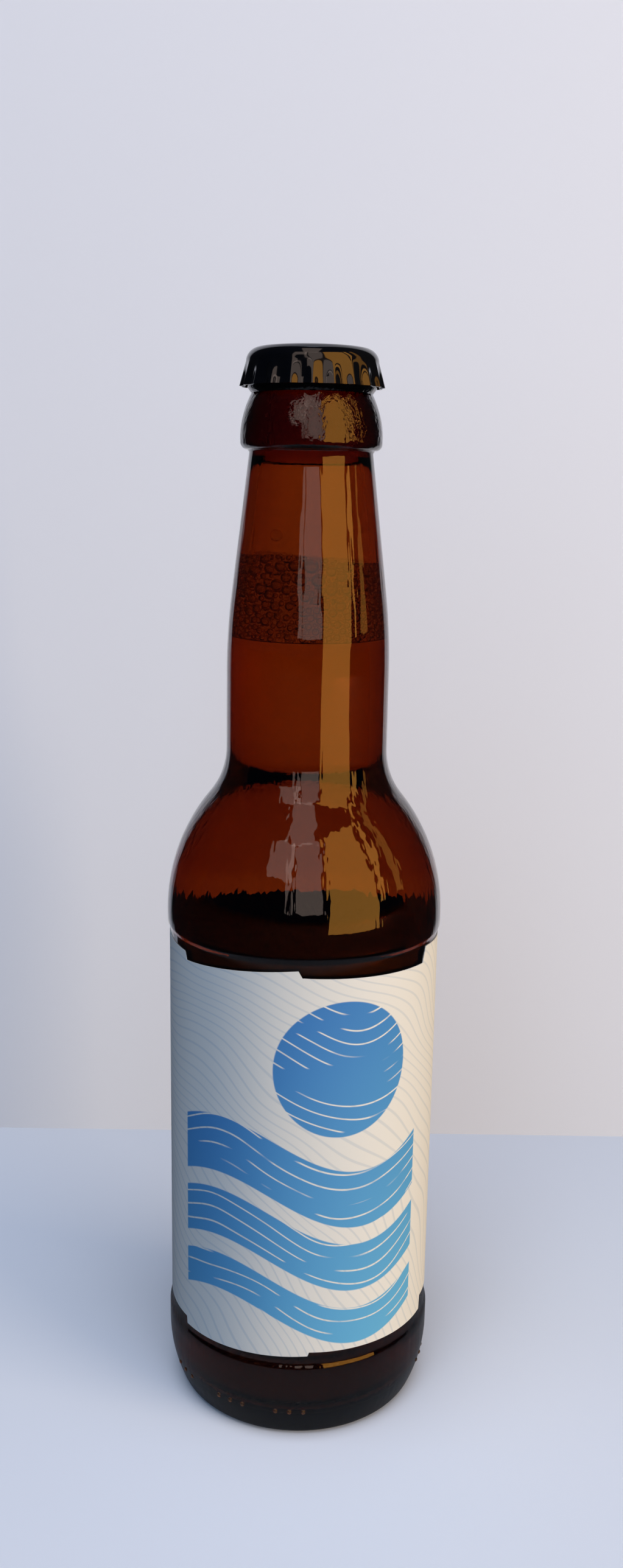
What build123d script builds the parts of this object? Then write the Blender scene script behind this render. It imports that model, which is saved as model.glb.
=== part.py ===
from build123d import *

import os
from math import acos, asin, atan, cos, degrees, pi, radians, sin, sqrt, tan

os.makedirs("parts", exist_ok=True)

# A capped long-neck glass bottle of beer, standing on its base.
# Millimetres, +Z up. The origin is the centre of the base on the standing surface.
# The front of the label faces -Y, and angles round the bottle start there and grow toward +X.

# Body
bottle_height = 231.85            # standing surface to the sealing lip
body_radius = 30.15               # shoulder bulge and heel band
panel_depth = 0.55                # how far the band under the label is set back
panel_bottom = 19.60
panel_to_shoulder = 3.45          # from the top of the band to the shoulder
panel_ramp = 1.40                 # height of the slope at each end of the band
wall = 2.50                       # glass thickness of body, shoulder and neck

# Heel and base
heel_height = 13.90               # where the straight side begins
heel_sweep_radius = 30.00         # large curve of the heel
heel_corner_radius = 3.00         # small curve next to the standing ring
ring_inner_radius = 22.00         # inside edge of the standing ring
push_up = 4.00                    # how far the base rises above the standing ring
base_glass = 4.60                 # glass thickness at the middle of the base
inner_heel_radius = 7.00

# Shoulder and neck
shoulder_start = 113.85           # top of the straight side
shoulder_radius = 40.80           # outward curve
hollow_radius = 16.30             # inward curve that meets the neck
neck_radius = 17.27
taper_start = 166.30              # where the neck begins to narrow
taper_sweep_radius = 138.60
neck_top_radius = 12.71           # under the collar

# Collar and crown finish, with heights as drops from the lip
collar_bottom_drop = 19.85
collar_radius = 14.65
collar_mid_radius = 14.20         # halfway up the collar
collar_lip_radius = 1.50
collar_top_drop = 8.65
collar_top_radius = 12.40
finish_radius = 13.20             # ring that the cap grips
finish_bottom_drop = 7.65
finish_top_drop = 3.25
lip_radius = 11.60
lip_rounding = 1.60
bore_radius = 8.10
bore_flare_bottom_drop = 22.85    # where the bore starts to open into the neck
bore_flare_top_drop = 10.85

# Raised dots on the heel
dot_radius = 0.62
dot_rise = 0.30                   # how far each dot stands out
dot_height = 7.30
dot_spacing = 6.0                 # degrees between neighbours
dot_groups = (-60.0, -30.0, -3.0, 76.0)
dots_per_group = 3

# Contents
beer_drop = 57.85                 # from the lip down to the beer
foam_height = 18.00

# Crown cap
cap_sheet = 0.25
cap_height = 7.60
cap_dome_radius = 2.80
cap_fit = 0.10                    # gap between the cap's inside and the finish
cap_shoulder_drop = 3.00          # from the top down to where the flutes begin
cap_ridge_flare = 1.35            # how far the ridges lean out at the skirt's edge
cap_valley_flare = 0.50
cap_flute_radius = 2.00           # roundness of each valley
cap_flutes = 21
cap_cut_below = 0.02              # the hollow runs just past the skirt's edge

# Label
label_paper = 0.10
label_fit = 0.0                   # the paper is glued straight to the glass

# Radii and heights that follow from the sizes above
panel_radius = body_radius - panel_depth
panel_top = shoulder_start - panel_to_shoulder
collar_bottom = bottle_height - collar_bottom_drop
collar_top = bottle_height - collar_top_drop
finish_bottom = bottle_height - finish_bottom_drop
finish_top = bottle_height - finish_top_drop
bore_flare_bottom = bottle_height - bore_flare_bottom_drop
bore_flare_top = bottle_height - bore_flare_top_drop
beer_level = bottle_height - beer_drop
foam_top = beer_level + foam_height


def ring_point(angle, radius, height):
    """Point at an angle from the front, a radius and a height."""
    a = radians(angle)
    return (radius * sin(a), -radius * cos(a), height)


# ---------------------------------------------------------------- bottle
# Heel: the large curve runs down from the straight side, the small one meets the ring.
sweep_centre_r = body_radius - heel_sweep_radius
reach = heel_sweep_radius - heel_corner_radius
corner_drop = heel_height - heel_corner_radius
heel_shift = sqrt(reach ** 2 - corner_drop ** 2)
corner_r = sweep_centre_r + heel_shift
heel_angle = asin(corner_drop / reach)
heel_join = (
    sweep_centre_r + heel_sweep_radius * cos(heel_angle),
    heel_height - heel_sweep_radius * sin(heel_angle),
)
heel_mid = (
    sweep_centre_r + heel_sweep_radius * cos(heel_angle / 2),
    heel_height - heel_sweep_radius * sin(heel_angle / 2),
)
corner_mid_angle = (heel_angle + pi / 2) / 2
corner_mid = (
    corner_r + heel_corner_radius * cos(corner_mid_angle),
    heel_corner_radius - heel_corner_radius * sin(corner_mid_angle),
)

# Shoulder: outward curve centred inside the body, inward curve centred outside the neck.
shoulder_centre_r = body_radius - shoulder_radius
hollow_centre_r = neck_radius + hollow_radius
centre_gap = hollow_centre_r - shoulder_centre_r
neck_start = shoulder_start + sqrt((shoulder_radius + hollow_radius) ** 2 - centre_gap ** 2)
shoulder_angle = asin((neck_start - shoulder_start) / (shoulder_radius + hollow_radius))


def shoulder_line(inset):
    """Points of the shoulder, set inward by a thickness: start, middle, join, middle, end."""
    big = shoulder_radius - inset
    small = hollow_radius + inset
    start = (shoulder_centre_r + big, shoulder_start)
    mid = (
        shoulder_centre_r + big * cos(shoulder_angle / 2),
        shoulder_start + big * sin(shoulder_angle / 2),
    )
    join = (
        shoulder_centre_r + big * cos(shoulder_angle),
        shoulder_start + big * sin(shoulder_angle),
    )
    hollow_mid = (
        hollow_centre_r - small * cos(shoulder_angle / 2),
        neck_start - small * sin(shoulder_angle / 2),
    )
    end = (hollow_centre_r - small, neck_start)
    return start, mid, join, hollow_mid, end


# Neck: a long gentle curve leads into the straight taper below the collar. The taper's
# angle is that of the line from the neck's top that touches the curve.
taper_centre_r = neck_radius - taper_sweep_radius
taper_reach = neck_top_radius - taper_centre_r
taper_rise = collar_bottom - taper_start
taper_distance = sqrt(taper_reach ** 2 + taper_rise ** 2)
taper = atan(taper_rise / taper_reach) - acos(taper_sweep_radius / taper_distance)


def taper_line(inset, top):
    """Points of the narrowing neck, set inward: middle and end of the curve, taper end."""
    radius = taper_sweep_radius - inset
    mid = (taper_centre_r + radius * cos(taper / 2), taper_start + radius * sin(taper / 2))
    end = (taper_centre_r + radius * cos(taper), taper_start + radius * sin(taper))
    tip = (end[0] - (top - end[1]) * tan(taper), top)
    return mid, end, tip


outer_shoulder = shoulder_line(0.0)
inner_shoulder = shoulder_line(wall)
outer_taper = taper_line(0.0, collar_bottom)
inner_taper = taper_line(wall, bore_flare_bottom)
inner_radius = body_radius - wall
floor_height = push_up + base_glass
inner_corner = 1 - sqrt(0.5)


def inner_outline(top):
    """Half section of the space inside the glass, closed along the axis at a height."""
    Line((0, floor_height), (inner_radius - inner_heel_radius, base_glass))
    ThreePointArc(
        (inner_radius - inner_heel_radius, base_glass),
        (inner_radius - inner_heel_radius * inner_corner, base_glass + inner_heel_radius * inner_corner),
        (inner_radius, base_glass + inner_heel_radius),
    )
    Line((inner_radius, base_glass + inner_heel_radius), inner_shoulder[0])
    ThreePointArc(*inner_shoulder[0:3])
    ThreePointArc(*inner_shoulder[2:5])
    Line(inner_shoulder[4], (neck_radius - wall, taper_start))
    ThreePointArc((neck_radius - wall, taper_start), inner_taper[0], inner_taper[1])
    Line(inner_taper[1], inner_taper[2])
    Line(inner_taper[2], (bore_radius, bore_flare_top))
    Line((bore_radius, bore_flare_top), (bore_radius, top))
    Line((bore_radius, top), (0, top))
    Line((0, top), (0, floor_height))


with BuildPart() as cavity:
    with BuildSketch(Plane.XZ):
        with BuildLine():
            inner_outline(bottle_height + 1.0)
        make_face()
    revolve(axis=Axis.Z)

with BuildPart() as bottle:
    with BuildSketch(Plane.XZ):
        with BuildLine():
            # Base: a shallow rise inside the standing ring
            ThreePointArc(
                (0, push_up),
                (ring_inner_radius * 0.55, push_up * 0.72),
                (ring_inner_radius, 0),
            )
            Line((ring_inner_radius, 0), (corner_r, 0))
            ThreePointArc((corner_r, 0), corner_mid, heel_join)
            ThreePointArc(heel_join, heel_mid, (body_radius, heel_height))
            # Straight side with the label band
            Line((body_radius, heel_height), (body_radius, panel_bottom - panel_ramp))
            Line((body_radius, panel_bottom - panel_ramp), (panel_radius, panel_bottom))
            Line((panel_radius, panel_bottom), (panel_radius, panel_top))
            Line((panel_radius, panel_top), (body_radius, panel_top + panel_ramp))
            Line((body_radius, panel_top + panel_ramp), outer_shoulder[0])
            # Shoulder and neck
            ThreePointArc(*outer_shoulder[0:3])
            ThreePointArc(*outer_shoulder[2:5])
            Line(outer_shoulder[4], (neck_radius, taper_start))
            ThreePointArc((neck_radius, taper_start), outer_taper[0], outer_taper[1])
            Line(outer_taper[1], outer_taper[2])
            # Collar: rounded lower lip, then a cone up to the cap
            Line(outer_taper[2], (collar_radius - collar_lip_radius, collar_bottom))
            ThreePointArc(
                (collar_radius - collar_lip_radius, collar_bottom),
                (
                    collar_radius - collar_lip_radius * inner_corner,
                    collar_bottom + collar_lip_radius * inner_corner,
                ),
                (collar_radius, collar_bottom + collar_lip_radius),
            )
            ThreePointArc(
                (collar_radius, collar_bottom + collar_lip_radius),
                (collar_mid_radius, (collar_bottom + collar_top) / 2),
                (collar_top_radius, collar_top),
            )
            # Crown finish under the cap
            Line((collar_top_radius, collar_top), (finish_radius, finish_bottom))
            Line((finish_radius, finish_bottom), (finish_radius, finish_top))
            Line((finish_radius, finish_top), (lip_radius, bottle_height - lip_rounding))
            ThreePointArc(
                (lip_radius, bottle_height - lip_rounding),
                (
                    lip_radius - lip_rounding * inner_corner,
                    bottle_height - lip_rounding * inner_corner,
                ),
                (lip_radius - lip_rounding, bottle_height),
            )
            Line((lip_radius - lip_rounding, bottle_height), (0, bottle_height))
            Line((0, bottle_height), (0, push_up))
        make_face()
    revolve(axis=Axis.Z)
    # Raised dots, in groups round the heel
    dot_side_r = sweep_centre_r + sqrt(heel_sweep_radius ** 2 - (heel_height - dot_height) ** 2)
    for group in dot_groups:
        for i in range(dots_per_group):
            angle = group + (i - (dots_per_group - 1) / 2) * dot_spacing
            with Locations(ring_point(angle, dot_side_r + dot_rise - dot_radius, dot_height)):
                Sphere(radius=dot_radius)
    add(cavity.part, mode=Mode.SUBTRACT)

bottle.part.label = "bottle"

# ---------------------------------------------------------------- contents
with BuildPart() as beer:
    add(cavity.part)
    split(bisect_by=Plane.XY.offset(beer_level), keep=Keep.BOTTOM)

beer.part.label = "beer"

with BuildPart() as foam:
    add(cavity.part)
    split(bisect_by=Plane.XY.offset(beer_level), keep=Keep.TOP)
    split(bisect_by=Plane.XY.offset(foam_top), keep=Keep.BOTTOM)

foam.part.label = "foam"

# ---------------------------------------------------------------- crown cap
cap_top = bottle_height + cap_sheet
cap_shoulder = cap_top - cap_shoulder_drop
cap_bottom = cap_top - cap_height
cap_shoulder_radius = finish_radius + cap_fit + cap_sheet
cap_ridge_radius = cap_shoulder_radius + cap_ridge_flare
cap_valley_radius = cap_shoulder_radius + cap_valley_flare
skirt_height = cap_shoulder - cap_bottom
flute_lean = degrees(atan((cap_valley_radius - cap_shoulder_radius) / skirt_height))
flute_middle_r = (cap_valley_radius + cap_shoulder_radius) / 2 + cap_flute_radius
flute_middle_z = (cap_shoulder + cap_bottom) / 2
flute_length = 3 * skirt_height


def cap_outline(inset, drop):
    """Half section of the cap over its ridges, set inward by the sheet's thickness."""
    top = cap_top - inset
    side = cap_shoulder_radius - inset
    turn = cap_dome_radius - inset
    Line((0, cap_bottom - drop), (0, top))
    Line((0, top), (side - turn, top))
    ThreePointArc(
        (side - turn, top),
        (side - turn * inner_corner, top - turn * inner_corner),
        (side, top - turn),
    )
    Line((side, top - turn), (side, cap_shoulder))
    Line((side, cap_shoulder), (cap_ridge_radius - inset, cap_bottom - drop))
    Line((cap_ridge_radius - inset, cap_bottom - drop), (0, cap_bottom - drop))


# The hollow has the same flutes, set inward by the sheet
with BuildPart() as cap_inside:
    with BuildSketch(Plane.XZ):
        with BuildLine():
            cap_outline(cap_sheet, cap_cut_below)
        make_face()
    revolve(axis=Axis.Z)
    with Locations((0, 0, flute_middle_z)):
        with PolarLocations(flute_middle_r, cap_flutes):
            Cylinder(
                radius=cap_flute_radius + cap_sheet,
                height=flute_length,
                rotation=(0, -flute_lean, 0),
                mode=Mode.SUBTRACT,
            )

with BuildPart() as crown_cap:
    with BuildSketch(Plane.XZ):
        with BuildLine():
            cap_outline(0.0, 0.0)
        make_face()
    revolve(axis=Axis.Z)
    with Locations((0, 0, flute_middle_z)):
        with PolarLocations(flute_middle_r, cap_flutes):
            Cylinder(
                radius=cap_flute_radius,
                height=flute_length,
                rotation=(0, -flute_lean, 0),
                mode=Mode.SUBTRACT,
            )
    add(cap_inside.part, mode=Mode.SUBTRACT)

crown_cap.part.label = "crown_cap"

# ---------------------------------------------------------------- label
# Each row: first angle, last angle, and how far the cut edge lies inside the band's top or
# bottom at the first and the last angle.
# The runs go once round the bottle, and the two ends of the paper meet at the back.
top_runs = (
    (-190.0, -114.0, 1.80, 3.20),
    (-114.0, -57.0, 0.80, 1.80),
    (-57.0, -0.5, 3.60, 1.00),
    (-0.5, 60.0, 2.50, 3.90),
    (60.0, 117.0, 0.45, 2.10),
    (117.0, 170.0, 3.50, 1.80),
)
bottom_runs = (
    (-190.0, -114.0, 2.80, 1.40),
    (-114.0, -57.0, 1.50, 2.30),
    (-57.0, 4.5, 0.60, 1.80),
    (4.5, 68.5, 2.70, 1.60),
    (68.5, 117.0, 4.80, 3.30),
    (117.0, 170.0, 1.00, 2.80),
)
label_middle = (panel_top + panel_bottom) / 2
label_inner = panel_radius + label_fit
label_outer = label_inner + label_paper


def label_strip(first, last, start_height, end_height, upward):
    """One run of the label between its middle and a sloping cut edge."""
    centre = (first + last) / 2
    half_chord = label_outer * sin(radians((last - first) / 2))
    slope = (end_height - start_height) / (2 * half_chord)
    mid_height = (start_height + end_height) / 2
    tangent = Vector(cos(radians(centre)), sin(radians(centre)), slope)
    outward = Vector(sin(radians(centre)), -cos(radians(centre)), 0)
    edge_plane = Plane(
        origin=ring_point(centre, label_outer * cos(radians((last - first) / 2)), mid_height),
        x_dir=tangent,
        z_dir=outward.cross(tangent),
    )
    far = mid_height + (5 if upward else -5)
    with BuildPart() as strip:
        with BuildSketch(Plane.XZ.rotated((0, 0, first - 90))):
            with Locations(((label_inner + label_outer) / 2, (label_middle + far) / 2)):
                Rectangle(label_paper, abs(far - label_middle))
        revolve(axis=Axis.Z, revolution_arc=last - first)
        split(bisect_by=edge_plane, keep=Keep.BOTTOM if upward else Keep.TOP)
    return strip.part


strips = []
for first, last, start_gap, end_gap in top_runs:
    strips.append(label_strip(first, last, panel_top - start_gap, panel_top - end_gap, True))
for first, last, start_gap, end_gap in bottom_runs:
    strips.append(label_strip(first, last, panel_bottom + start_gap, panel_bottom + end_gap, False))

with BuildPart() as label:
    for strip in strips:
        add(strip)

label.part.label = "label"

for piece in (bottle, beer, foam, crown_cap, label):
    export_step(piece.part, "parts/" + piece.part.label + ".step")
    print(piece.part.label, len(piece.part.solids()), "solid", round(piece.part.volume), "mm3")
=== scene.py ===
# %% [markdown]
# # A capped bottle of beer
# The object is an amber glass long-neck bottle, full of beer up to the neck, with a layer of foam, a black
# crown cap and a paper label wrapped round its body.
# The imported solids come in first. Every piece made below takes the place of one of them, at the same size.

# %% Load the frame
import random
from math import asin, atan2, cos, degrees, pi, radians, sin, sqrt, tan

import bpy
from mathutils import Matrix, Vector


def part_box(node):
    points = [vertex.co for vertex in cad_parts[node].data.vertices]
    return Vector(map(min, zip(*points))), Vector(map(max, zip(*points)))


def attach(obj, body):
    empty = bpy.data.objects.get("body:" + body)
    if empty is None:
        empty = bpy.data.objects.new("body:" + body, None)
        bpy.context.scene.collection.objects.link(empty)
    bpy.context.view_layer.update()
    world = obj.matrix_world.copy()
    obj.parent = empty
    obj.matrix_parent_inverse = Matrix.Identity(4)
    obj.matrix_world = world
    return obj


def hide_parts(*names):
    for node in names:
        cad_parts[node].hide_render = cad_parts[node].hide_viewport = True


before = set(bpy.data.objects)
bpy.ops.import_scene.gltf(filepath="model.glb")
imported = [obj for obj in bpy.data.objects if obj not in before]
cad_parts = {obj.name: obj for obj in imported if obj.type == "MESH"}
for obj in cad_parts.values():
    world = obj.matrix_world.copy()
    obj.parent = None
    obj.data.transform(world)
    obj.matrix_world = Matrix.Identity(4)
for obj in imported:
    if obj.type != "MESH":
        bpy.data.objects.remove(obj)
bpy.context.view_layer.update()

MM = 0.001
bottle_low, bottle_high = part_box("bottle")
cap_low, cap_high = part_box("crown_cap")
label_low, label_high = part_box("label")
beer_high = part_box("beer")[1]
foam_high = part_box("foam")[1]
print("bottle", bottle_low, bottle_high)
print("label", label_low, label_high)

# %% [markdown]
# ## Helpers
# Most of the object is turned, as glass from a mould is round. A turned piece starts as one point of a
# primitive, which is extruded along half of the section and then spun about the upright axis.
# Colours are written as sRGB hex, the way a colour picker shows them, and one function makes them linear.


# %% Helpers for operators
def deselect():
    """Leaves edit mode and selects nothing, because operators act on all that is selected."""
    if bpy.context.mode != "OBJECT":
        bpy.ops.object.mode_set(mode="OBJECT")
    bpy.ops.object.select_all(action="DESELECT")


def take(piece):
    """Makes one piece the selected and active one."""
    deselect()
    piece.select_set(True)
    bpy.context.view_layer.objects.active = piece


def arc(centre_r, centre_z, radius, start, end, steps):
    """Points of an arc in the section, in millimetres; angles in degrees from the outward direction."""
    points = []
    for i in range(steps + 1):
        a = radians(start + (end - start) * i / steps)
        points.append((centre_r + radius * cos(a), centre_z + radius * sin(a)))
    return points


def line(start, end, steps):
    """Points along a straight run of the section, without its first point."""
    return [
        (start[0] + (end[0] - start[0]) * i / steps, start[1] + (end[1] - start[1]) * i / steps)
        for i in range(1, steps + 1)
    ]


def turned(name, section, turns, closed=True):
    """Spins a half section about the upright axis. The section's points are in millimetres."""
    deselect()
    bpy.ops.mesh.primitive_plane_add(size=MM, location=(section[0][0] * MM, 0, section[0][1] * MM))
    piece = bpy.context.object
    piece.name = name
    bpy.ops.object.transform_apply(location=True, rotation=True, scale=True)
    bpy.ops.object.mode_set(mode="EDIT")
    bpy.ops.mesh.select_all(action="SELECT")
    bpy.ops.mesh.merge(type="CENTER")
    last = section[0]
    for point in section[1:]:
        step = ((point[0] - last[0]) * MM, 0, (point[1] - last[1]) * MM)
        bpy.ops.mesh.extrude_region_move(TRANSFORM_OT_translate={"value": step})
        last = point
    bpy.ops.mesh.select_all(action="SELECT")
    bpy.ops.mesh.spin(steps=turns, angle=2 * pi, center=(0, 0, 0), axis=(0, 0, 1))
    bpy.ops.mesh.select_all(action="SELECT")
    bpy.ops.mesh.remove_doubles(threshold=0.001 * MM)
    bpy.ops.mesh.select_all(action="SELECT")
    bpy.ops.mesh.normals_make_consistent(inside=False)
    bpy.ops.object.mode_set(mode="OBJECT")
    print(name, len(piece.data.polygons), "faces")
    return piece


def smooth(piece, angle):
    """Smooth shading that keeps corners sharper than the angle in degrees."""
    take(piece)
    bpy.ops.object.shade_smooth_by_angle(angle=radians(angle))


# %% Helpers for materials
MATH, MAP_RANGE, MIX = "ShaderNodeMath", "ShaderNodeMapRange", "ShaderNodeMix"


def colour(hex_code):
    """A linear colour from an sRGB hex code."""
    channels = [int(hex_code[i : i + 2], 16) / 255 for i in (1, 3, 5)]
    linear = [c / 12.92 if c <= 0.04045 else ((c + 0.055) / 1.055) ** 2.4 for c in channels]
    return (*linear, 1.0)


def new_material(name):
    """A new material, with its node tree and its shader node."""
    made = bpy.data.materials.new(name)
    made.use_nodes = True
    nodes = made.node_tree.nodes
    return made, made.node_tree, nodes["Principled BSDF"]


def node(tree, kind, inputs=None, **settings):
    """Adds a node, sets its properties, and fills its inputs with values, sockets or nodes."""
    made = tree.nodes.new(kind)
    for key, value in settings.items():
        setattr(made, key, value)
    for key, value in (inputs or {}).items():
        if isinstance(value, bpy.types.Node):
            value = value.outputs[0]
        if isinstance(value, bpy.types.NodeSocket):
            tree.links.new(value, made.inputs[key])
        else:
            made.inputs[key].default_value = value
    return made


def finish_piece(piece, made, cad_node):
    """Gives a piece its material and its body, and hides the CAD node that it takes the place of."""
    piece.data.materials.clear()
    piece.data.materials.append(made)
    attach(piece, "root")
    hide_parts(cad_node)


# %% [markdown]
# ## Sizes
# The section of the bottle is a few straight runs and arcs. The same sizes give its outside, its inside and
# the drink, so that they fit each other.

# %% Sizes in millimetres
body_r = bottle_high[0] / MM
lip_z = bottle_high[2] / MM
panel_r, panel_bottom, panel_top, panel_ramp = 29.60, 19.60, 110.40, 1.40
wall = 2.50
heel_z, heel_r, corner_r, foot_round = 13.90, 30.00, 3.00, 0.60
ring_inner, push_up, base_glass, inner_heel_r = 22.00, 4.00, 4.60, 7.00
shoulder_z, shoulder_r, hollow_r, neck_r = 113.85, 40.80, 16.30, 17.27
taper_z, taper_r, taper_angle = 166.30, 138.60, 6.98
collar_z, collar_r, collar_mid, collar_lip = 212.00, 14.65, 14.20, 1.50
collar_top_z, collar_top_r = 223.20, 12.40
joint_start, joint_down, joint_out = 0.50, 0.10, 0.25
finish_r, finish_low, finish_high = 13.20, 224.20, 228.60
lip_r, lip_round = 11.60, 1.60
bore_r, bore_round, flare_low, flare_high = 8.10, 0.40, 209.00, 221.00
beer_z = beer_high[2] / MM
foam_z = foam_high[2] / MM
TURNS = 144

shoulder_c = body_r - shoulder_r
hollow_c = neck_r + hollow_r
neck_z = shoulder_z + sqrt((shoulder_r + hollow_r) ** 2 - (hollow_c - shoulder_c) ** 2)
shoulder_a = degrees(asin((neck_z - shoulder_z) / (shoulder_r + hollow_r)))
heel_c = body_r - heel_r
heel_a = degrees(asin((heel_z - corner_r) / (heel_r - corner_r)))
corner_c = heel_c + (heel_r - corner_r) * cos(radians(heel_a))
taper_c = neck_r - taper_r
print("neck starts at", round(neck_z, 2), "mm, shoulder turns", round(shoulder_a, 1), "degrees")


def wall_line(inset, top):
    """Section from the straight side up to the tapered neck, set inward by a thickness."""
    points = arc(shoulder_c, shoulder_z, shoulder_r - inset, 0, shoulder_a, 22)
    points += arc(hollow_c, neck_z, hollow_r + inset, 180 + shoulder_a, 180, 12)[1:]
    points += line(points[-1], (neck_r - inset, taper_z), 4)
    points += arc(taper_c, taper_z, taper_r - inset, 0, taper_angle, 8)[1:]
    end = points[-1]
    points += line(end, (end[0] - (top - end[1]) * tan(radians(taper_angle)), top), 6)
    return points


def round_corner(centre_r, centre_z, radius, start, end, steps):
    """An arc without its first point, to go on from a run that ends where it starts."""
    return arc(centre_r, centre_z, radius, start, end, steps)[1:]


# %% [markdown]
# ## Bottle
# A bottle is blown in a split mould: the outside takes the mould's shape and the inside stays smooth. The
# base is pushed up so that only a narrow ring stands on the table, and the label band is a hair narrower so
# that bottles rub on glass and not on paper. The glass is one closed shell, outside and inside in one
# section, because light has to pass a real thickness of glass to bend and darken as it does.

# %% Model the bottle
def bulge(start, middle_r, end, steps):
    """Points of a soft curve between two points that passes a given radius halfway up."""
    points = []
    for i in range(1, steps + 1):
        t = i / steps
        straight = start[0] + (end[0] - start[0]) * t
        extra = middle_r - (start[0] + end[0]) / 2
        points.append((straight + extra * 4 * t * (1 - t), start[1] + (end[1] - start[1]) * t))
    return points


outside = [(0.0, push_up)]
outside += [(ring_inner * t / 12, push_up * (1 - (t / 12) ** 2)) for t in range(1, 12)]
outside += round_corner(ring_inner + foot_round, foot_round, foot_round, 200, 270, 3)
outside += line(outside[-1], (corner_c, 0.0), 2)
outside += round_corner(corner_c, corner_r, corner_r, -90, -heel_a, 8)
outside += round_corner(heel_c, heel_z, heel_r, -heel_a, 0, 8)
outside += line((body_r, heel_z), (body_r, panel_bottom - panel_ramp), 2)
outside += line((body_r, panel_bottom - panel_ramp), (panel_r, panel_bottom), 3)
outside += line((panel_r, panel_bottom), (panel_r, panel_top), 10)
outside += line((panel_r, panel_top), (body_r, panel_top + panel_ramp), 3)
outside += wall_line(0.0, collar_z - joint_start)
joint = (outside[-1][0] + joint_out, collar_z - joint_down)
outside.append(joint)
outside += line(joint, (collar_r - collar_lip, collar_z), 2)
outside += round_corner(collar_r - collar_lip, collar_z + collar_lip, collar_lip, -90, 0, 8)
outside += bulge(outside[-1], collar_mid, (collar_top_r, collar_top_z), 12)
outside += [(finish_r, finish_low), (finish_r, finish_high), (lip_r, lip_z - lip_round)]
outside += round_corner(lip_r - lip_round, lip_z - lip_round, lip_round, 0, 90, 5)
inside = [(0.0, push_up + base_glass)]
inside += line((0.0, push_up + base_glass), (body_r - wall - inner_heel_r, base_glass), 8)
inside += round_corner(body_r - wall - inner_heel_r, base_glass + inner_heel_r, inner_heel_r, -90, 0, 8)
inside += line(inside[-1], (body_r - wall, shoulder_z), 8)
inside += wall_line(wall, flare_low)[1:]
inside += line(inside[-1], (bore_r, flare_high), 5)
inside += line((bore_r, flare_high), (bore_r, lip_z - bore_round), 4)
glass_section = outside + [(bore_r + bore_round, lip_z)] + inside[::-1]
bottle = turned("bottle_glass", glass_section, TURNS)

# %% [markdown]
# The heel carries groups of small raised dots. Each is a little dome half sunk in the glass. One dome is
# modelled and copied, and all are joined to the bottle.

# %% Raised dots on the heel
dot_groups, dots_in_group, dot_step = (-60.0, -30.0, -3.0, 76.0), 3, 6.0
dot_z, dot_size, dot_rise = 7.30, 0.62, 0.30
side_r = heel_c + sqrt(heel_r ** 2 - (heel_z - dot_z) ** 2)
deselect()
bpy.ops.mesh.primitive_uv_sphere_add(segments=12, ring_count=8, radius=dot_size * MM)
first_dot = bpy.context.object
dots = []
for group in dot_groups:
    for i in range(dots_in_group):
        turn = radians(group + (i - (dots_in_group - 1) / 2) * dot_step)
        reach = (side_r + dot_rise - dot_size) * MM
        dot = first_dot.copy()
        dot.data = first_dot.data.copy()
        dot.location = (reach * sin(turn), -reach * cos(turn), dot_z * MM)
        bpy.context.collection.objects.link(dot)
        dots.append(dot)
bpy.data.objects.remove(first_dot)
take(bottle)
for dot in dots:
    dot.select_set(True)
bpy.ops.object.join()
smooth(bottle, 40)
print("dots", len(dots))

# %% [markdown]
# ## Beer
# The drink fills the glass. It reaches a little way into the wall, so that no film of air shows between
# the two, and it ends level under the foam.

# %% Model the beer
BITE, NEAR_BRIM = 0.15, 0.50
beer_section = [(0.0, push_up + base_glass - BITE)]
beer_section += line(beer_section[0], (body_r - wall - inner_heel_r, base_glass - BITE), 8)
beer_section += round_corner(
    body_r - wall - inner_heel_r, base_glass + inner_heel_r, inner_heel_r + BITE, -90, 0, 8
)
beer_section += line(beer_section[-1], (body_r - wall + BITE, shoulder_z), 8)
beer_section += [p for p in wall_line(wall - BITE, flare_low)[1:] if p[1] < beer_z - NEAR_BRIM]
brim_r = neck_r - wall + BITE - (beer_z - taper_z) ** 2 / (2 * taper_r)
beer_section += [(brim_r, beer_z)]
beer_section += line((brim_r, beer_z), (0.0, beer_z), 6)
beer = turned("beer_fill", beer_section, TURNS)
smooth(beer, 40)

# %% [markdown]
# ## Foam
# Foam at rest in a closed bottle is wet: clear bubbles of gas crowd together in a little drink, small where
# they rise from the beer and larger where they have joined higher up. So the piece is a plug of drink with
# hollows in it along the glass. A hollow's faces point into the hollow, away from the drink, which makes
# the light turn back at its rim and draws the dark ring round each bubble.

# %% Foam: the plug of drink
random.seed(7)
FOAM_EDGE = 1.6
LEAN, LEAN_TURN, RIPPLE, RIPPLE_TURN = 0.9, 1.1, 0.35, 0.4


def inner_neck(z):
    """Radius inside the neck at a height, in millimetres."""
    if z <= taper_z:
        return neck_r - wall
    lift = min(z - taper_z, (taper_r - wall) * sin(radians(taper_angle)))
    radius = taper_c + sqrt((taper_r - wall) ** 2 - lift ** 2)
    return radius - max(0.0, z - taper_z - lift) * tan(radians(taper_angle))


def foam_surface(turn):
    """Height of the foam's uneven top at an angle from the front, in millimetres."""
    return foam_z - FOAM_EDGE + LEAN * cos(turn + LEAN_TURN) + RIPPLE * cos(3 * turn + RIPPLE_TURN)


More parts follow.
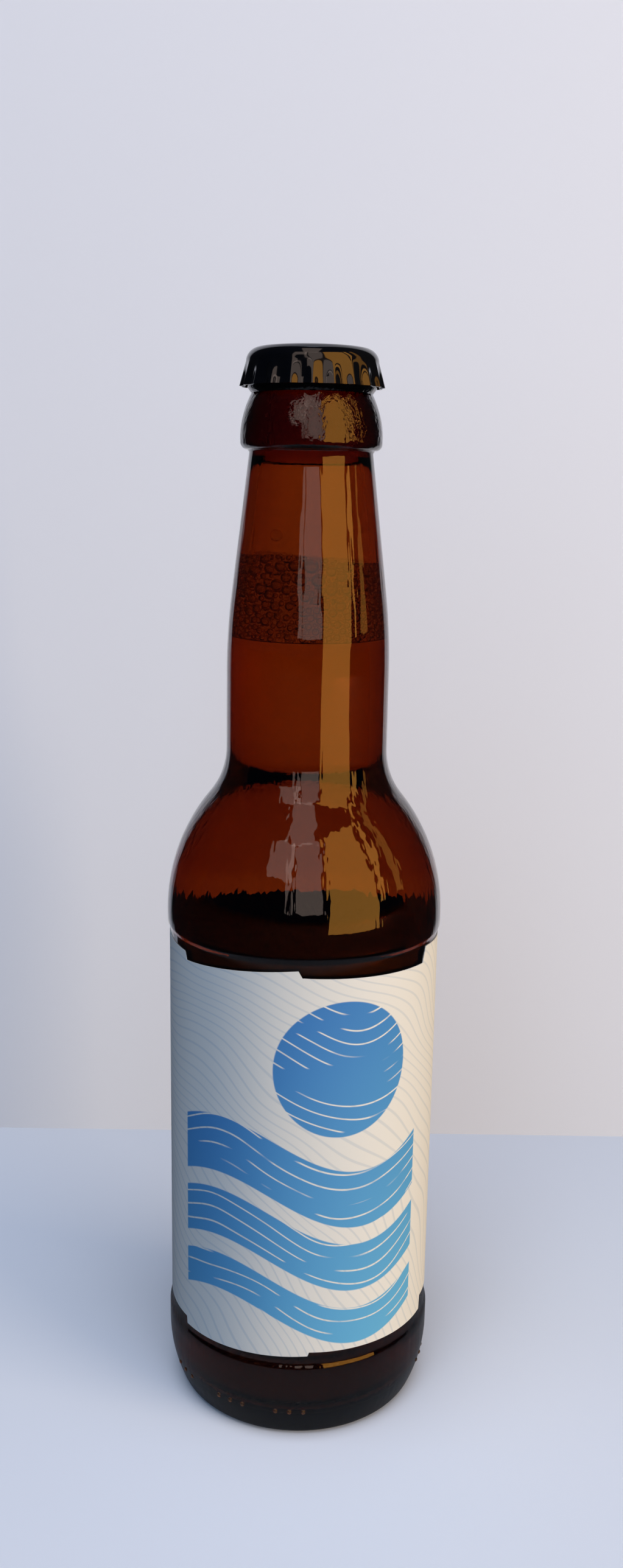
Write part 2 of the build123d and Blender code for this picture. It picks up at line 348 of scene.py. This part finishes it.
plug_top = foam_z - FOAM_EDGE
plug = line((0.0, beer_z - BITE), (inner_neck(beer_z) + BITE, beer_z - BITE), 8)
plug += [(inner_neck(z) + BITE, z) for _, z in line((0, beer_z), (0, plug_top), 8)]
plug += line(plug[-1], (0.0, plug_top), 8)
foam = turned("foam_bubbles", [(0.0, beer_z - BITE)] + plug, TURNS)
for vertex in foam.data.vertices:
    if vertex.co.z > (plug_top - 0.1) * MM:
        turn = atan2(vertex.co.x, -vertex.co.y)
        share = sqrt(vertex.co.x ** 2 + vertex.co.y ** 2) / (inner_neck(plug_top) * MM)
        vertex.co.z += (foam_surface(turn) - plug_top) * share * MM

# %% [markdown]
# Bubbles of many sizes pack closer than equal ones. Each try picks a spot on the glass and takes the
# largest bubble that still fits between its neighbours there. Early tries keep only full-sized bubbles, and
# later ones fill the gaps. Each bubble is a ball of few faces, because there are hundreds.

# %% Foam: the bubbles
deselect()
bpy.ops.mesh.primitive_ico_sphere_add(subdivisions=2, radius=1.0)
first_bubble = bpy.context.object
hollows = []


def add_ball(radius, reach, turn, z):
    """A copy of the first ball, in millimetres, at a distance from the axis."""
    ball = first_bubble.copy()
    ball.data = first_bubble.data.copy()
    ball.scale = (radius * MM,) * 3
    ball.location = (reach * sin(turn) * MM, -reach * cos(turn) * MM, z * MM)
    bpy.context.collection.objects.link(ball)
    return ball


TRIES, FULL_TRIES, SMALLEST, MOST, SKIN = 6000, 2500, 0.34, 560, 0.03
# Radius of a full-sized bubble at the beer, what it gains up to the foam's top, and its spread
LOW_SIZE, GROWTH, SPREAD = 0.66, 0.95, (0.75, 1.10)
# A bubble may dip this far into the beer, and stand this many times its clear height out of the foam
DIP, STAND_OUT = 0.12, 1.15
placed = []
for attempt in range(TRIES):
    turn = random.uniform(-pi, pi)
    z = random.uniform(beer_z, foam_z)
    share = (z - beer_z) / (foam_z - beer_z)
    full = (LOW_SIZE + GROWTH * share) * random.uniform(*SPREAD)
    radius = min(full, z - beer_z + DIP, (foam_surface(turn) - z) * STAND_OUT)
    for other_turn, other_z, other_radius in placed:
        if radius < SMALLEST:
            break
        apart = abs(turn - other_turn)
        around = min(apart, 2 * pi - apart) * (inner_neck(z) - radius)
        radius = min(radius, sqrt(around ** 2 + (z - other_z) ** 2) - other_radius - SKIN)
    wanted = full * 0.95 if attempt < FULL_TRIES else SMALLEST
    if radius >= wanted and len(placed) < MOST:
        placed.append((turn, z, radius))
        hollows.append(add_ball(radius, inner_neck(z) - radius - SKIN, turn, z))
# Loose bubbles above the foam are films: a ball with a hollow almost as large, a little into the glass
INTO_GLASS = 0.98
loose = []
for turn, z, radius in ((-0.62, foam_z + 3.0, 1.2), (1.05, foam_z + 4.2, 0.6)):
    reach = inner_neck(z) - radius * INTO_GLASS
    loose.append(add_ball(radius, reach, turn, z))
    hollows.append(add_ball(radius - SKIN, reach, turn, z))
bpy.data.objects.remove(first_bubble)
take(hollows[0])
for ball in hollows:
    ball.select_set(True)
bpy.ops.object.join()
hollow = bpy.context.object
bpy.ops.object.transform_apply(location=True, rotation=True, scale=True)
hollow.data.flip_normals()
take(foam)
for ball in [hollow] + loose:
    ball.select_set(True)
bpy.ops.object.join()
bpy.ops.object.transform_apply(location=True, rotation=True, scale=True)
smooth(foam, 60)
print("bubbles", len(placed), "faces", len(foam.data.polygons))

# %% [markdown]
# ## Crown cap
# A crown cap is a disc of lacquered tinplate, pressed over the lip so that its edge folds into 21 flutes.
# The sheet is turned first as a shallow cup. Each ring of its skirt is then pulled in between the ridges
# by a smooth wave that grows toward the edge, and a Solidify modifier gives the sheet its thickness.

# %% Model the crown cap
cap_top = cap_high[2] / MM
cap_edge = cap_low[2] / MM
FLUTES, FLUTE_STEPS, FLUTE_GROWTH, FLUTE_ROUND = 21, 16, 1.25, 0.6
sheet, dome_r, cap_side, flute_drop = 0.25, 2.80, 13.55, 2.60
ridge_r, valley_r = 14.88, 14.05
cap_section = [(0.0, cap_top)] + line((0.0, cap_top), (cap_side - dome_r, cap_top), 6)
cap_section += round_corner(cap_side - dome_r, cap_top - dome_r, dome_r, 90, 0, 10)
cap_section += line(cap_section[-1], (ridge_r, cap_edge), 14)
cap = turned("cap_shell", cap_section, FLUTES * FLUTE_STEPS)
flute_top = cap_top - flute_drop
for vertex in cap.data.vertices:
    reach = sqrt(vertex.co.x ** 2 + vertex.co.y ** 2)
    drop = (flute_top * MM - vertex.co.z) / ((flute_top - cap_edge) * MM)
    if drop > 0 and reach > 0.01:
        turn = atan2(vertex.co.x, -vertex.co.y)
        swing = (1 - cos(FLUTES * turn)) / 2
        depth = (ridge_r - valley_r) * MM * min(1.0, drop * FLUTE_GROWTH) * swing ** FLUTE_ROUND
        vertex.co.x *= (reach - depth) / reach
        vertex.co.y *= (reach - depth) / reach
thick = cap.modifiers.new("sheet", "SOLIDIFY")
thick.thickness = sheet * MM
thick.offset = -1
take(cap)
bpy.ops.object.modifier_apply(modifier=thick.name)
smooth(cap, 50)
print("cap faces", len(cap.data.polygons))

# %% [markdown]
# ## Label
# The label is one strip of paper glued round the recessed band, and its two ends meet at the back. Its
# edges are cut in sloping runs with a small slanted step between them. The strip is a grid of columns bent
# round the bottle, and each column's ends are set on the cut line. Its UV map is the flat paper, so the
# print lies on it as on a flat sheet.

# %% Model the label
label_r = label_high[0] / MM
paper = 0.10
LABEL_START, LABEL_END, COLUMN_STEP = -190.0, 170.0, 2.5
UV_SPAN = 100.0  # Millimetres of paper in one unit of the map
# Angle, height: the corners of each cut edge
top_cut = (
    (LABEL_START, 108.60), (-114.9, 107.20), (-113.2, 109.60), (-57.6, 108.60), (-56.0, 106.80),
    (-1.8, 109.40), (-0.2, 107.90), (58.6, 106.50), (61.2, 109.95), (116.0, 108.30),
    (117.6, 106.90), (LABEL_END, 108.60),
)
bottom_cut = (
    (LABEL_START, 22.40), (-114.2, 21.00), (-113.9, 21.10), (-57.2, 21.90), (-56.8, 20.20),
    (4.3, 21.40), (4.9, 22.30), (68.3, 21.20), (69.0, 24.40), (116.9, 22.90),
    (117.3, 20.60), (LABEL_END, 22.40),
)


def cut_height(cut, angle):
    """Height of a cut edge at an angle."""
    for (a0, z0), (a1, z1) in zip(cut, cut[1:]):
        if a0 <= angle <= a1:
            return z0 + (z1 - z0) * (angle - a0) / (a1 - a0)
    return cut[-1][1]


angles = {LABEL_START, LABEL_END}
angles |= {a for a, _ in top_cut + bottom_cut}
angles |= {LABEL_START + i * COLUMN_STEP for i in range(int((LABEL_END - LABEL_START) / COLUMN_STEP) + 1)}
columns = sorted(angles)
LABEL_ROWS = 4
deselect()
bpy.ops.mesh.primitive_grid_add(x_subdivisions=len(columns) - 1, y_subdivisions=LABEL_ROWS, size=2)
label = bpy.context.object
label.name = "label_paper"
flat = [(vertex.co.x, vertex.co.y) for vertex in label.data.vertices]
paper_map = label.data.uv_layers.active or label.data.uv_layers.new(name="UVMap")
placed = []
for x, y in flat:
    angle = columns[min(len(columns) - 1, round((x + 1) / 2 * (len(columns) - 1)))]
    low, high = cut_height(bottom_cut, angle), cut_height(top_cut, angle)
    placed.append((angle, low + (high - low) * (y + 1) / 2))
for vertex, (angle, z) in zip(label.data.vertices, placed):
    a = radians(angle)
    vertex.co = Vector((label_r * sin(a) * MM, -label_r * cos(a) * MM, z * MM))
for loop in label.data.loops:
    angle, z = placed[loop.vertex_index]
    paper_map.data[loop.index].uv = (radians(angle) * label_r / UV_SPAN, z / UV_SPAN)
take(label)
bpy.ops.object.mode_set(mode="EDIT")
bpy.ops.mesh.select_all(action="SELECT")
bpy.ops.mesh.remove_doubles(threshold=0.001 * MM)
bpy.ops.mesh.select_all(action="SELECT")
bpy.ops.mesh.normals_make_consistent(inside=False)
bpy.ops.object.mode_set(mode="OBJECT")
if label.data.polygons[0].normal.dot(label.data.polygons[0].center) < 0:
    label.data.flip_normals()
thick = label.modifiers.new("paper", "SOLIDIFY")
thick.thickness = paper * MM
thick.offset = -1
take(label)
bpy.ops.object.modifier_apply(modifier=thick.name)
smooth(label, 30)
print("label faces", len(label.data.polygons))

# %% [markdown]
# ## Amber glass
# Container glass is coloured right through, so thick glass is darker: the heel and collar look almost
# black and the neck glows orange-brown. A clear shader with absorption inside gives that for free.
# The collar keeps the fine ripple of the mould, about a millimetre from swell to swell, and all the glass
# has faint upright flow lines from blowing. A very low bump draws both.

# %% Material: amber container glass
amber, tree, shader = new_material("amber_container_glass")
shader.inputs["Base Color"].default_value = colour("#f4e6c4")
shader.inputs["Roughness"].default_value = 0.0
shader.inputs["IOR"].default_value = 1.52
shader.inputs["Transmission Weight"].default_value = 1.0
absorb = node(tree, "ShaderNodeVolumeAbsorption", {"Color": colour("#e3b83f"), "Density": 1295.0})
tree.links.new(absorb.outputs[0], tree.nodes["Material Output"].inputs["Volume"])
RIPPLES_PER_MM, FLOW_LINES_PER_MM, FLOW_SQUEEZE = 0.9, 0.7, 0.03
RIPPLE_SHARE, RELIEF_MM = 1.6, 0.07
place = node(tree, "ShaderNodeTexCoord")
ripple = node(
    tree,
    "ShaderNodeTexNoise",
    {"Vector": place.outputs["Object"], "Scale": RIPPLES_PER_MM / MM, "Detail": 2.0},
)
height = node(tree, "ShaderNodeSeparateXYZ", {"Vector": place.outputs["Object"]})
limits = {"From Min": (collar_z + 0.5) * MM, "From Max": (collar_z + 1.5) * MM}
on_collar = node(tree, MAP_RANGE, {"Value": height.outputs["Z"], **limits})
strength = node(tree, MATH, {0: on_collar, 1: ripple}, operation="MULTIPLY")
stretched = node(
    tree, "ShaderNodeMapping", {"Vector": place.outputs["Object"], "Scale": (1.0, 1.0, FLOW_SQUEEZE)}
)
flow = node(
    tree, "ShaderNodeTexNoise", {"Vector": stretched, "Scale": FLOW_LINES_PER_MM / MM, "Detail": 1.0}
)
relief = node(tree, MATH, {0: strength, 1: RIPPLE_SHARE, 2: flow}, operation="MULTIPLY_ADD")
bump = node(tree, "ShaderNodeBump", {"Height": relief, "Strength": 1.0, "Distance": RELIEF_MM * MM})
tree.links.new(bump.outputs[0], shader.inputs["Normal"])
finish_piece(bottle, amber, "bottle")

# %% [markdown]
# ## Beer and bubbles
# Lager is clear and golden. Through amber glass it only deepens the brown. The foam's drink is the same,
# but it takes up more light, which stands in for the many bubbles deeper in that scatter it.

# %% Materials: beer and wet foam
lager, tree, shader = new_material("clear_lager")
shader.inputs["Base Color"].default_value = colour("#fdf3dc")
shader.inputs["Roughness"].default_value = 0.0
shader.inputs["IOR"].default_value = 1.34
shader.inputs["Transmission Weight"].default_value = 1.0
absorb = node(tree, "ShaderNodeVolumeAbsorption", {"Color": colour("#f3daa0"), "Density": 12.0})
tree.links.new(absorb.outputs[0], tree.nodes["Material Output"].inputs["Volume"])
finish_piece(beer, lager, "beer")

wet_foam, tree, shader = new_material("wet_beer_foam")
shader.inputs["Base Color"].default_value = colour("#ffffff")
shader.inputs["Roughness"].default_value = 0.0
shader.inputs["IOR"].default_value = 1.34
shader.inputs["Transmission Weight"].default_value = 1.0
absorb = node(tree, "ShaderNodeVolumeAbsorption", {"Color": colour("#bcaa95"), "Density": 35.0})
tree.links.new(absorb.outputs[0], tree.nodes["Material Output"].inputs["Volume"])
finish_piece(foam, wet_foam, "foam")

# %% [markdown]
# ## Lacquered tinplate
# The cap is glossy black lacquer baked on tinplate. It is a dark coat with a sharp mirror gloss.

# %% Material: black lacquer
lacquer, tree, shader = new_material("black_cap_lacquer")
shader.inputs["Base Color"].default_value = colour("#08080a")
shader.inputs["Roughness"].default_value = 0.07
shader.inputs["IOR"].default_value = 1.50
finish_piece(cap, lacquer, "crown_cap")

# %% [markdown]
# ## Printed paper
# The label is uncoated ivory paper. Fine grey lines wander over it like wood grain, and a simple print in
# blue lies on top: a disc over three broad waves, scratched by thin paper-coloured streaks. The print is
# worked out from the flat paper's millimetres, where x runs round the bottle from the front and y is the
# height.

# %% Label paper: places and shapes
printed, tree, shader = new_material("uncoated_label_paper")
flat_paper = node(tree, "ShaderNodeUVMap", uv_map=paper_map.name)
in_mm = node(
    tree, "ShaderNodeVectorMath", {0: flat_paper, 1: (UV_SPAN, UV_SPAN, 0.0)}, operation="MULTIPLY"
)
spot = node(tree, "ShaderNodeSeparateXYZ", {"Vector": in_mm})
# Millimetres of the flat paper; a wave is a middle height and a width
WAVES = ((63.0, 13.0), (47.0, 11.0), (33.0, 8.5))
WAVE_LENGTH, WAVE_SHIFT, WAVE_SWING = 64.0, 3.34, 5.5
DISC_X, DISC_Y, DISC_R = 9.0, 87.5, 15.0
PRINT_HALF, INK_EDGE, LINE_EDGE = 29.0, 0.12, 0.025
GRAIN_X, GRAIN_Y, GRAIN_SHARE = -48.0, 2.0, 0.55


def within(distance, reach, soft):
    """1 where a distance is under a reach, and 0 beyond."""
    size = node(tree, MATH, {0: distance}, operation="ABSOLUTE")
    limits = {"From Min": reach - soft, "From Max": reach + soft, "To Min": 1.0, "To Max": 0.0}
    return node(tree, MAP_RANGE, {"Value": size, **limits})


def above_wave(middle):
    """Height above a wavy line that runs across the paper."""
    phase = node(
        tree, MATH, {0: spot.outputs["X"], 1: 2 * pi / WAVE_LENGTH, 2: WAVE_SHIFT}, operation="MULTIPLY_ADD"
    )
    swell = node(tree, MATH, {0: phase}, operation="SINE")
    crest = node(tree, MATH, {0: swell, 1: WAVE_SWING, 2: middle}, operation="MULTIPLY_ADD")
    return node(tree, MATH, {0: spot.outputs["Y"], 1: crest}, operation="SUBTRACT")


def from_point(x, y):
    """Distance from a point of the paper."""
    apart = node(tree, "ShaderNodeVectorMath", {0: in_mm, 1: (x, y, 0.0)}, operation="DISTANCE")
    return apart.outputs["Value"]


def grain(height, spacing, width, coarse, swing):
    """Thin lines side by side at equal steps of a height, which wander by a swing: 1 on a line."""
    wander = node(tree, "ShaderNodeTexNoise", {"Vector": in_mm, "Scale": 1 / coarse, "Detail": 1.0})
    moved = node(tree, MATH, {0: wander, 1: swing, 2: height}, operation="MULTIPLY_ADD")
    steps = node(tree, MATH, {0: moved, 1: 1 / spacing}, operation="MULTIPLY")
    part = node(tree, MATH, {0: steps}, operation="FRACT")
    from_line = node(tree, MATH, {0: part, 1: 0.5}, operation="SUBTRACT")
    return within(from_line, width / spacing / 2, LINE_EDGE)


# %% Label paper: print
shapes = within(from_point(DISC_X, DISC_Y), DISC_R, INK_EDGE)
for middle, width in WAVES:
    band = within(above_wave(middle), width / 2, INK_EDGE)
    shapes = node(tree, MATH, {0: shapes, 1: band}, operation="MAXIMUM")
front = within(spot.outputs["X"], PRINT_HALF, INK_EDGE)
streak = grain(above_wave(0.0), spacing=3.1, width=0.34, coarse=34.0, swing=9.0)
# Worn patches are about 50 mm long and 9 mm tall, and lie along the streaks
long_spots = node(tree, "ShaderNodeVectorMath", {0: in_mm, 1: (0.02, 0.11, 0.0)}, operation="MULTIPLY")
patches = node(tree, "ShaderNodeTexNoise", {"Vector": long_spots, "Scale": 1.0, "Detail": 2.0})
limits = {"From Min": 0.52, "From Max": 0.56, "To Min": 1.0, "To Max": 0.0}
worn = node(tree, MAP_RANGE, {"Value": patches, **limits})
scratch = node(tree, MATH, {0: streak, 1: worn}, operation="MULTIPLY")
inked = node(tree, MATH, {0: 1.0, 1: scratch}, operation="SUBTRACT")
blue_area = node(tree, MATH, {0: shapes, 1: front}, operation="MULTIPLY")
blue_area = node(tree, MATH, {0: blue_area, 1: inked}, operation="MULTIPLY")
fine = grain(from_point(GRAIN_X, GRAIN_Y), spacing=2.3, width=0.42, coarse=42.0, swing=26.0)
grey_line = node(tree, MATH, {0: fine, 1: GRAIN_SHARE}, operation="MULTIPLY")
paper_colour = node(tree, MIX, {0: grey_line, 6: colour("#efece3"), 7: colour("#ced4d6")}, data_type="RGBA")
# The blue deepens from the lower right to the upper left
slant = node(tree, MATH, {0: spot.outputs["X"], 1: -0.5, 2: spot.outputs["Y"]}, operation="MULTIPLY_ADD")
blue_fade = node(tree, MAP_RANGE, {"Value": slant, "From Min": 15.0, "From Max": 105.0})
blue = node(tree, MIX, {0: blue_fade, 6: colour("#66b6e0"), 7: colour("#3a80c4")}, data_type="RGBA")
ink = node(tree, MIX, {0: blue_area, 6: paper_colour.outputs[2], 7: blue.outputs[2]}, data_type="RGBA")
tree.links.new(ink.outputs[2], shader.inputs["Base Color"])
shader.inputs["Roughness"].default_value = 0.72
shader.inputs["IOR"].default_value = 1.45
finish_piece(label, printed, "label")

# %% [markdown]
# ## Stage
# A pale floor and a pale wall close behind the bottle. Seen straight or through the glass they keep their
# colour. As light on the label, and in gloss far from the bottle, they are dim, as in a large dark room
# with only a small pale sheet under and behind the bottle. Both planes are one-sided, so that the bottle
# shows from behind the wall and from under the floor too.

# %% Floor and wall
WALL_Y, SHEET_REACH, SHEET_EDGE, DIM = 0.118, 0.165, 0.01, "#242528"


def stage_plane(name, size, location, turn, hex_code, gloss):
    """A large plane of the stage, pale where seen; as light on other things it is painted dim, and in gloss
    it shows a share of its pale colour near the bottle and is painted dim beyond.
    """
    deselect()
    bpy.ops.mesh.primitive_plane_add(size=size, location=location, rotation=turn)
    piece = bpy.context.object
    piece.name = name
    made, tree, matt = new_material(name + "_paint")
    rays = node(tree, "ShaderNodeLightPath").outputs
    spot = node(tree, "ShaderNodeNewGeometry").outputs["Position"]
    outward = node(tree, "ShaderNodeVectorMath", {0: spot, 1: (1.0, 1.0, 0.0)}, operation="MULTIPLY")
    reach = node(tree, "ShaderNodeVectorMath", {0: outward}, operation="LENGTH").outputs["Value"]
    limits = {"From Min": SHEET_REACH - SHEET_EDGE, "From Max": SHEET_REACH + SHEET_EDGE}
    beyond = node(tree, MAP_RANGE, {"Value": reach, **limits})
    close = node(tree, MATH, {0: 1.0, 1: beyond}, operation="SUBTRACT")
    share = node(tree, MATH, {0: close, 1: gloss}, operation="MULTIPLY")
    mirrored = node(tree, MATH, {0: rays["Is Glossy Ray"], 1: share}, operation="MULTIPLY")
    seen = node(tree, MATH, {0: rays["Is Camera Ray"], 1: rays["Is Transmission Ray"]}, operation="MAXIMUM")
    shown = node(tree, MATH, {0: seen, 1: mirrored}, operation="MAXIMUM")
    paint = node(tree, MIX, {0: shown, 6: colour(DIM), 7: colour(hex_code)}, data_type="RGBA")
    tree.links.new(paint.outputs[2], matt.inputs["Base Color"])
    matt.inputs["Roughness"].default_value = 0.9
    matt.inputs["Specular IOR Level"].default_value = 0.0
    back = node(tree, "ShaderNodeNewGeometry").outputs["Backfacing"]
    clear = node(tree, "ShaderNodeBsdfTransparent")
    one_sided = node(tree, "ShaderNodeMixShader", {0: back, 1: matt, 2: clear})
    tree.links.new(one_sided.outputs[0], tree.nodes["Material Output"].inputs["Surface"])
    piece.data.materials.append(made)


# Painted darker reflection: in gloss the floor shows only a quarter of its pale colour, as if a small table
# ended soon in front of the bottle, while the wall shows all of its colour close by.
stage_plane("floor", 6.0, (0, 0, 0), (0, 0, 0), "#eeeff2", 0.25)
stage_plane("backdrop", 3.0, (0, WALL_Y, 1.0), (radians(90), 0, 0), "#f4f3f7", 1.0)

# %% [markdown]
# Glass shows what it mirrors more than how it is lit. So three soft lamps light the matt surfaces and stay
# out of the glass: a warm key from the right, a cool fill from the front and a cool one from above. The
# cards do the opposite. They show only in gloss, and draw the tall streaks: a pale one in the middle and an
# amber one on its right.

# %% Lamps
AIM = Vector((0, 0, 0.12))


def lamp(name, place, target, width, tall, power, hex_code):
    """An area lamp at a place, aimed at a target."""
    data = bpy.data.lights.new(name, "AREA")
    data.shape = "RECTANGLE"
    data.size = width
    data.size_y = tall
    data.energy = power
    data.color = colour(hex_code)[:3]
    made = bpy.data.objects.new(name, data)
    made.location = place
    made.rotation_euler = (Vector(target) - Vector(place)).to_track_quat("-Z", "Y").to_euler()
    bpy.context.collection.objects.link(made)
    return made


def around(azimuth, reach, z):
    """A place at an angle from the front, a distance from the axis and a height."""
    return (reach * sin(radians(azimuth)), -reach * cos(radians(azimuth)), z)


# Name, angle from the front, distance, height, size, power, colour
SOFT_LAMPS = (
    ("warm_key", 58, 1.3, 0.26, 0.7, 15.5, "#ffeacb"),
    ("cool_fill", -15, 1.3, 0.60, 1.2, 4.0, "#bce2ff"),
    ("cool_top", 0, 0.55, 1.70, 1.2, 19.0, "#e6eeff"),
)
for name, azimuth, reach, z, size, power, hex_code in SOFT_LAMPS:
    soft = lamp(name, around(azimuth, reach, z), AIM, size, size, power, hex_code)
    soft.visible_glossy = False
    soft.visible_transmission = False

# Name, first and last azimuth, distance, lowest and highest point, radiance, colour
PALE, AMBER = "#ffe4d6", "#ffb14e"
CARDS = (
    ("pale_card_edge", -15.0, -11.5, 1.4, 0.19, 1.60, 1.0, PALE),
    ("pale_card", -9.0, 17.0, 1.4, 0.19, 1.60, 1.0, PALE),
    ("pale_card_left", -36.0, -11.0, 1.4, 0.72, 1.60, 1.0, PALE),
    ("amber_card", 20.0, 62.0, 0.7, 0.00, 0.95, 2.7, AMBER),
    ("amber_card_edge", 66.0, 72.0, 0.7, 0.17, 0.95, 3.0, AMBER),
    ("amber_card_side", 82.0, 90.0, 0.7, 0.17, 0.95, 1.2, AMBER),
)
cards = [lamp("pale_card_above", (-0.05, -0.75, 1.54), AIM, 0.60, 1.00, 2.4, PALE)]
for name, first, last, reach, low, high, radiance, hex_code in CARDS:
    middle, half = (first + last) / 2, (last - first) / 2
    width, tall, height = 2 * reach * tan(radians(half)), high - low, (low + high) / 2
    power = 4 * radiance * width * tall
    cards.append(lamp(name, around(middle, reach, height), (0, 0, height), width, tall, power, hex_code))
for card in cards:
    card.visible_diffuse = False
    card.visible_transmission = False

# %% [markdown]
# The room is a dim blue light on matt surfaces, close to black in gloss, and pale where it is seen.

# %% World
SKY_SEEN, SKY_LIGHT, SKY_GLOSS = 0.80, 0.27, 0.02
world = bpy.data.worlds.new("room")
bpy.context.scene.world = world
world.use_nodes = True
tree = world.node_tree
rays = node(tree, "ShaderNodeLightPath").outputs
seen = node(tree, MATH, {0: rays["Is Camera Ray"], 1: SKY_SEEN, 2: SKY_GLOSS}, operation="MULTIPLY_ADD")
strength = node(tree, MATH, {0: rays["Is Diffuse Ray"], 1: SKY_LIGHT, 2: seen}, operation="MULTIPLY_ADD")
hues = {6: colour("#abc4ff"), 7: colour("#eff0f3")}
sky = node(tree, MIX, {0: rays["Is Camera Ray"], **hues}, data_type="RGBA")
tree.links.new(sky.outputs[2], tree.nodes["Background"].inputs[0])
tree.links.new(strength.outputs[0], tree.nodes["Background"].inputs[1])

# %% [markdown]
# ## Camera
# The camera stands close, 29 cm in front of the bottle and 21 cm up, and looks 13 degrees down. So the
# label's lower edge bows and the cap is seen almost level.

# %% Camera
SENSOR, LENS, LENS_RISE = 36.0, 31.5559, 0.0089286
EYE = Vector((0, -0.29205, 0.20612))
yaw, pitch, roll = radians(0.242), radians(13.03), radians(0.95)
forward = Vector((sin(yaw) * cos(pitch), cos(yaw) * cos(pitch), -sin(pitch)))
level = Vector((cos(yaw), -sin(yaw), 0))
upward = level.cross(forward)
right = level * cos(roll) + upward * sin(roll)
above = upward * cos(roll) - level * sin(roll)
camera_data = bpy.data.cameras.new("camera")
camera_data.sensor_width = SENSOR
camera_data.lens = LENS
camera_data.shift_y = LENS_RISE
camera_data.clip_start = 0.01
camera = bpy.data.objects.new("camera", camera_data)
bpy.context.collection.objects.link(camera)
turned_axes = Matrix((right, above, -forward)).transposed().to_4x4()
camera.matrix_world = Matrix.Translation(EYE) @ turned_axes
bpy.context.scene.camera = camera
bpy.context.scene.view_settings.view_transform = "Standard"
